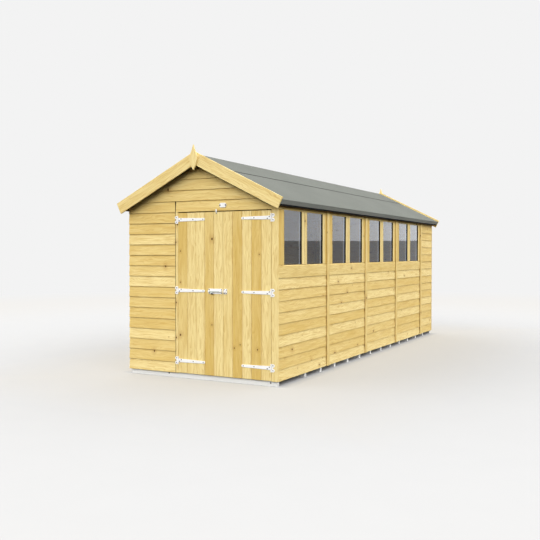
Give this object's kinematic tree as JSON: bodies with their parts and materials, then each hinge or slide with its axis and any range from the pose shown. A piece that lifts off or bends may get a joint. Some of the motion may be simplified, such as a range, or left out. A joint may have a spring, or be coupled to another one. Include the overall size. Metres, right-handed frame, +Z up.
{
  "type": "garden shed",
  "caption": "Long apex-roofed wooden garden shed with overlap-board walls, a glazed window wall, felted roof and double doors on T hinges in the gable end.",
  "frame": {"origin": "on the ground at the middle of the plan", "axes": "+Z up, -Y towards the door gable, +X towards the window wall"},
  "size_m": [1.9844, 5.574, 2.3703],
  "materials": {
    "pine_cladding": "planed pine, honey stain",
    "framing_timber": "planed softwood",
    "floor_boards": "planed softwood",
    "bearer_timber": "pale treated timber",
    "roofing_felt": "mineral felt",
    "glazing": "clear sheet",
    "bright_steel": "white coated"
  },
  "bodies": {
    "shed": {"blank_plate": "bright_steel", "cover_strips": "pine_cladding", "door_header": "pine_cladding", "eave_battens": "framing_timber", "floor_bearers": "bearer_timber", "floor_deck": "floor_boards", "front_finial": "pine_cladding", "front_gable": "pine_cladding", "front_left_bargeboard": "pine_cladding", "front_left_panel": "pine_cladding", "front_right_bargeboard": "pine_cladding", "hinge_plates": "bright_steel", "left_door_post": "pine_cladding", "left_roof_boards": "framing_timber", "left_roof_felt": "roofing_felt", "left_wall_panels": "pine_cladding", "rear_finial": "pine_cladding", "rear_gable": "pine_cladding", "rear_left_bargeboard": "pine_cladding", "rear_right_bargeboard": "pine_cladding", "rear_wall_panels": "pine_cladding", "ridge_felt": "roofing_felt", "right_door_post": "pine_cladding", "right_roof_boards": "framing_timber", "right_roof_felt": "roofing_felt", "right_wall_panels": "pine_cladding", "roof_purlins": "framing_timber", "wall_plates": "framing_timber", "wall_studs": "framing_timber", "window_frame_1": "pine_cladding", "window_frame_2": "pine_cladding", "window_frame_3": "pine_cladding", "window_frame_4": "pine_cladding", "window_panes": "glazing"},
    "left_leaf": {"left_door": "pine_cladding", "left_door_ledges": "framing_timber", "left_hinge_straps": "bright_steel", "pad_bolt_plate": "bright_steel", "door_stop": "bright_steel"},
    "right_leaf": {"right_door": "pine_cladding", "right_door_ledges": "framing_timber", "right_hinge_straps": "bright_steel", "pad_bolt_keeper": "bright_steel"},
    "bolt": {"pad_bolt_bar": "bright_steel"}
  },
  "joints": [
    {"name": "left_door_swing", "type": "hinge", "parent": "shed", "child": "left_leaf", "pos_m": [-0.259, -2.685, 0.875], "axis": [0, 0, -1], "range_deg": [0, 170]},
    {"name": "right_door_swing", "type": "hinge", "parent": "shed", "child": "right_leaf", "pos_m": [0.827, -2.685, 0.875], "axis": [0, 0, 1], "range_deg": [0, 170]},
    {"name": "pad_bolt_slide", "type": "slide", "parent": "left_leaf", "child": "bolt", "axis": [1, 0, 0], "range_m": [0, 0.048]}
  ]
}
